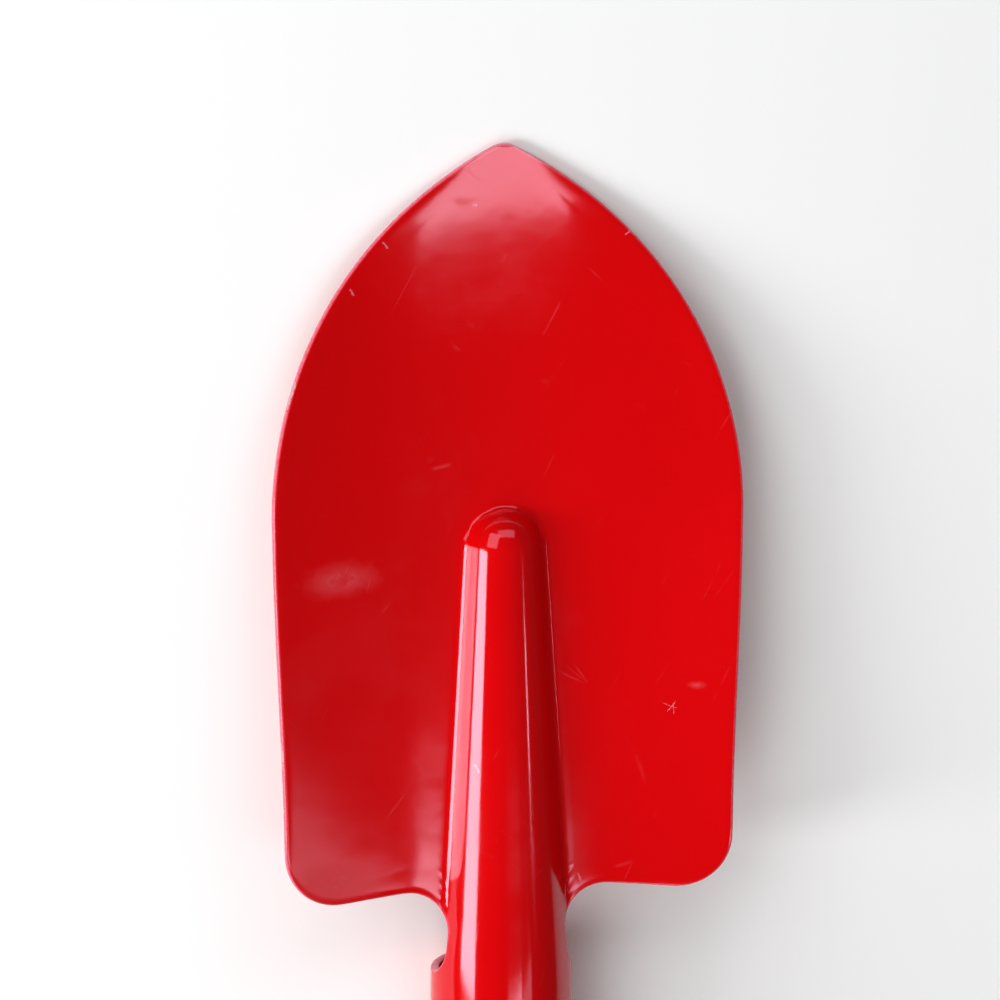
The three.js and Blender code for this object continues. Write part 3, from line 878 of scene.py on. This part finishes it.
def enamel_material(groups):
    material, nodes, shader, place = new_material("red_enamel")
    rim = nodes.add("ShaderNodeAttribute", attribute_name="rim").outputs["Fac"]
    wear = place_group(nodes, groups["rim"], {"Place": place, "Distance": rim, "Reach": 0.55, "Amount": 0.66})
    peel = place_group(nodes, groups["peel"], {"Place": place, "Scale": 260.0, "Flow": 45.0})
    specks = place_group(nodes, groups["specks"], {
        "Place": place, "Density": 330.0, "Size": 0.075, "Share": 0.05})
    long_scratches = place_group(nodes, groups["scratches"], {
        "Place": place, "Turn": (0.0, 0.0, 0.5), "Density": 70.0, "Amount": 0.5})
    cross_scratches = place_group(nodes, groups["scratches"], {
        "Place": place, "Turn": (0.0, 0.0, -0.9), "Density": 55.0, "Amount": 0.4})
    scratches = nodes.math("ADD", long_scratches["Mask"], cross_scratches["Mask"], True)
    knocks = joined_marks(nodes, place, groups["knocks"], [
        {"Centre": centre, "Turn": turn, "Half Length": half_length, "Half Width": half_width}
        for centre, turn, half_length, half_width in KNOCKS])
    rubbed_and_highlight = joined_marks(nodes, place, groups["rub_and_highlight"], [
        {"Centre": centre, "Reach": reach} for centre, reach in RUBS_AND_HIGHLIGHTS])

    depth = nodes.noise(place, 14.0, 3.0)
    red = nodes.mix(nodes.ramp(depth, 0.3, 0.7), (0.60, 0.0004, 0.001, 1), (0.66, 0.0005, 0.0015, 1))
    scuffed = nodes.mix(nodes.math("MULTIPLY", scratches, 0.22), red, (0.8, 0.1, 0.12, 1))
    # painted highlight: the rubbed patches lighten the red towards pink; their real loss of gloss is in the
    # roughness below
    scuffed = nodes.mix(nodes.math("MULTIPLY", rubbed_and_highlight, 0.16), scuffed, (0.85, 0.25, 0.3, 1))
    rimmed = nodes.mix(nodes.math("MULTIPLY", wear["Thin"], 0.65), scuffed, (0.85, 0.2, 0.3, 1))
    specked = nodes.mix(nodes.math("MULTIPLY", specks["Mask"], 0.5), rimmed, (0.85, 0.3, 0.35, 1))
    knocked = nodes.mix(nodes.math("MULTIPLY", knocks, 0.45), specked, (0.85, 0.3, 0.38, 1))
    chipped = nodes.mix(nodes.math("MULTIPLY", wear["Chips"], 0.8), knocked, (0.62, 0.42, 0.43, 1))
    nodes.put(shader.inputs["Base Color"], chipped)

    clouded = nodes.ramp(nodes.noise(place, 38.0, 5.0, 0.6), 0.45, 0.75, 0.0, 0.07)
    rough = nodes.math("ADD", 0.09, clouded)
    rough = nodes.math("ADD", rough, nodes.math("MULTIPLY", scratches, 0.25))
    rough = nodes.math("ADD", rough, nodes.math("MULTIPLY", rubbed_and_highlight, 0.25))
    rough = nodes.math("ADD", rough, nodes.math("MULTIPLY", wear["Chips"], 0.4), True)
    nodes.put(shader.inputs["Roughness"], rough)
    nodes.put(shader.inputs["Metallic"], nodes.math("MULTIPLY", wear["Chips"], 0.4))
    shader.inputs["IOR"].default_value = 1.5
    shader.inputs["Specular Tint"].default_value = (1.0, 0.60, 0.78, 1)
    shader.inputs["Coat Weight"].default_value = 0.06
    shader.inputs["Coat Roughness"].default_value = 0.05

    height = nodes.math("MULTIPLY", peel["Height"], 0.00010)
    height = nodes.math("SUBTRACT", height, nodes.math("MULTIPLY", scratches, 0.000006))
    height = nodes.math("SUBTRACT", height, nodes.math("MULTIPLY", knocks, 0.00004))
    height = nodes.math("SUBTRACT", height, nodes.math("MULTIPLY", wear["Chips"], 0.00006))
    bump(nodes, shader, height, 0.35)
    return material


def wood_material():
    material, nodes, shader, place = new_material("turned_ash")
    lengthwise = nodes.mapping(
        place, scale=(1.0, 0.06, 1.0), turn=(-0.06, 0.0, 0.03), shift=(0.013, 0, 0.006))
    wander = nodes.noise(lengthwise, 55.0, 3.0, 0.6)
    rings = nodes.add("ShaderNodeTexWave", {
        "Vector": lengthwise, "Scale": 75.0, "Distortion": 3.0, "Detail": 3.0, "Detail Scale": 1.4},
        wave_type="RINGS", rings_direction="Y", wave_profile="SAW")
    late = nodes.ramp(rings.outputs["Fac"], 0.35, 0.95)
    fibres = nodes.noise(nodes.mapping(place, scale=(1.0, 0.025, 1.0)), 1500.0, 2.0, 0.7)
    pore_noise = nodes.noise(nodes.mapping(place, scale=(1.0, 0.03, 1.0)), 900.0, 1.0)
    pores = nodes.ramp(pore_noise, 0.60, 0.70)
    light = nodes.mix(nodes.ramp(wander, 0.3, 0.7), (0.56, 0.36, 0.19, 1), (0.66, 0.46, 0.27, 1))
    wood = nodes.mix(nodes.math("MULTIPLY", late, 0.75), light, (0.36, 0.19, 0.08, 1))
    late_pores = nodes.math("MULTIPLY", pores, nodes.math("MULTIPLY", late, 0.7))
    wood = nodes.mix(late_pores, wood, (0.17, 0.085, 0.04, 1))
    wood = nodes.mix(nodes.math("MULTIPLY", fibres, 0.25), wood, (0.42, 0.26, 0.13, 1))
    grime = nodes.ramp(nodes.noise(place, 45.0, 4.0), 0.5, 0.75)
    wood = nodes.mix(nodes.math("MULTIPLY", grime, 0.3), wood, (0.2, 0.12, 0.07, 1))
    nodes.put(shader.inputs["Base Color"], wood)
    rough = nodes.math("ADD", 0.34, nodes.math("MULTIPLY", grime, 0.14))
    nodes.put(shader.inputs["Roughness"], nodes.math("ADD", rough, nodes.math("MULTIPLY", pores, 0.2), True))
    shader.inputs["Coat Weight"].default_value = 0.25
    shader.inputs["Coat Roughness"].default_value = 0.25
    height = nodes.math("MULTIPLY", fibres, 0.00003)
    height = nodes.math("SUBTRACT", height, nodes.math("MULTIPLY", pores, 0.00005))
    bump(nodes, shader, height, 0.6)
    return material


def steel_material(groups):
    material, nodes, shader, place = new_material("zinc_plated_steel")
    cloud = nodes.noise(place, 600.0, 4.0, 0.6)
    scratches = place_group(nodes, groups["scratches"], {
        "Place": place, "Turn": (0.0, 0.0, 0.8), "Density": 900.0, "Amount": 0.6})
    dull = nodes.ramp(cloud, 0.45, 0.7)
    metal = nodes.mix(dull, (0.62, 0.61, 0.58, 1), (0.42, 0.40, 0.37, 1))
    nodes.put(shader.inputs["Base Color"], nodes.mix(scratches["Mask"], metal, (0.8, 0.79, 0.76, 1)))
    nodes.put(shader.inputs["Roughness"], nodes.ramp(cloud, 0.3, 0.7, 0.24, 0.42))
    shader.inputs["Metallic"].default_value = 1.0
    height = nodes.math("MULTIPLY", cloud, 0.00004)
    bump(nodes, shader, height, 0.5)
    return material


def floor_material():
    material, _, shader, _ = new_material("pale_floor")
    shader.inputs["Base Color"].default_value = (0.96, 0.96, 0.965, 1)
    shader.inputs["Roughness"].default_value = 0.9
    return material


# ---------------------------------------------------------------- setting

def camera():
    """Looks down on the face of the blade, from a little to its left and from beyond its tip."""
    target = Vector(CAMERA_TARGET) * MM
    left, ahead = math.radians(CAMERA_LEFT), math.radians(CAMERA_AHEAD)
    toward = Vector((-math.sin(left) * math.cos(ahead), math.sin(ahead), math.cos(left) * math.cos(ahead)))
    turn = LAID.to_quaternion().to_matrix()
    toward = turn @ toward
    forward = -toward
    right = forward.cross(turn @ Vector((0, 1, 0))).normalized()
    up = right.cross(forward)
    roll = math.radians(CAMERA_ROLL)
    right, up = (
        right * math.cos(roll) + up * math.sin(roll),
        up * math.cos(roll) - right * math.sin(roll),
    )
    data = bpy.data.cameras.new("camera")
    data.lens = CAMERA_LENS
    data.clip_start = 0.01
    eye = bpy.data.objects.new("camera", data)
    bpy.context.scene.collection.objects.link(eye)
    facing = Matrix((right, up, toward)).transposed().to_4x4()
    eye.matrix_world = Matrix.Translation(target + toward * CAMERA_DISTANCE * MM) @ facing
    bpy.context.scene.camera = eye


def soft_light(name, place, target, along, size, power):
    """A plain rectangular lamp that faces its target; the first side of its size lies along the given way."""
    data = bpy.data.lights.new(name, "AREA")
    data.shape = "RECTANGLE"
    data.size, data.size_y = size
    data.energy = power
    light = bpy.data.objects.new(name, data)
    bpy.context.scene.collection.objects.link(light)
    back = (Vector(place) - Vector(target)).normalized()
    up = back.cross(Vector(along)).normalized()
    facing = Matrix((up.cross(back), up, back)).transposed().to_4x4()
    light.matrix_world = Matrix.Translation(Vector(place)) @ facing


def studio():
    deselect()
    bpy.ops.mesh.primitive_plane_add(size=8.0)
    floor = named("floor")
    floor.data.materials.append(floor_material())
    world = bpy.data.worlds.new("studio")
    world.use_nodes = True
    background = world.node_tree.nodes["Background"]
    background.inputs["Color"].default_value = (1, 1, 1, 1)
    background.inputs["Strength"].default_value = 0.065
    bpy.context.scene.world = world
    bpy.context.scene.view_settings.view_transform = "Standard"
    across, lengthwise = (1, 0, 0), (0, 1, 0)
    soft_light("left_strip", (-1.08, -0.10, 0.51), (0, 0.06, 0.01), lengthwise, (0.31, 0.52), 8.9)
    soft_light("left_front", (-0.74, 0.70, 0.88), (0, 0.08, 0.01), lengthwise, (1.0, 0.7), 6.6)
    soft_light("left_back", (-0.46, -0.76, 0.88), (0, 0.08, 0.01), lengthwise, (0.8, 0.7), 6.6)
    soft_light("overhead_bank", (1.75, -1.65, 8.0), (0.02, 0.08, 0.01), across, (3.1, 0.64), 50.0)
    soft_light("right_card", (0.61, -0.215, 1.0), (-0.03, 0.03, 0.01), across, (0.3, 0.09), 0.2)
    soft_light("right_slit", (1.1, -0.08, 1.0), (0, 0.07, 0.01), lengthwise, (0.08, 0.05), 0.2)
    soft_light("beyond_tip", (0.1, 1.05, 0.75), (0, 0.09, 0.01), across, (1.0, 0.5), 3.4)


def main():
    camera()
    studio()
    groups = {
        "scratches": scratch_group(),
        "knocks": knock_group(),
        "rub_and_highlight": rub_and_highlight_group(),
        "specks": speck_group(),
        "rim": rim_wear_group(),
        "peel": orange_peel_group(),
    }
    blade_pressing().data.materials.append(enamel_material(groups))
    handle().data.materials.append(wood_material())
    steel = steel_material(groups)
    for make in (handle_rivet, rivet_burr):
        make().data.materials.append(steel)


main()
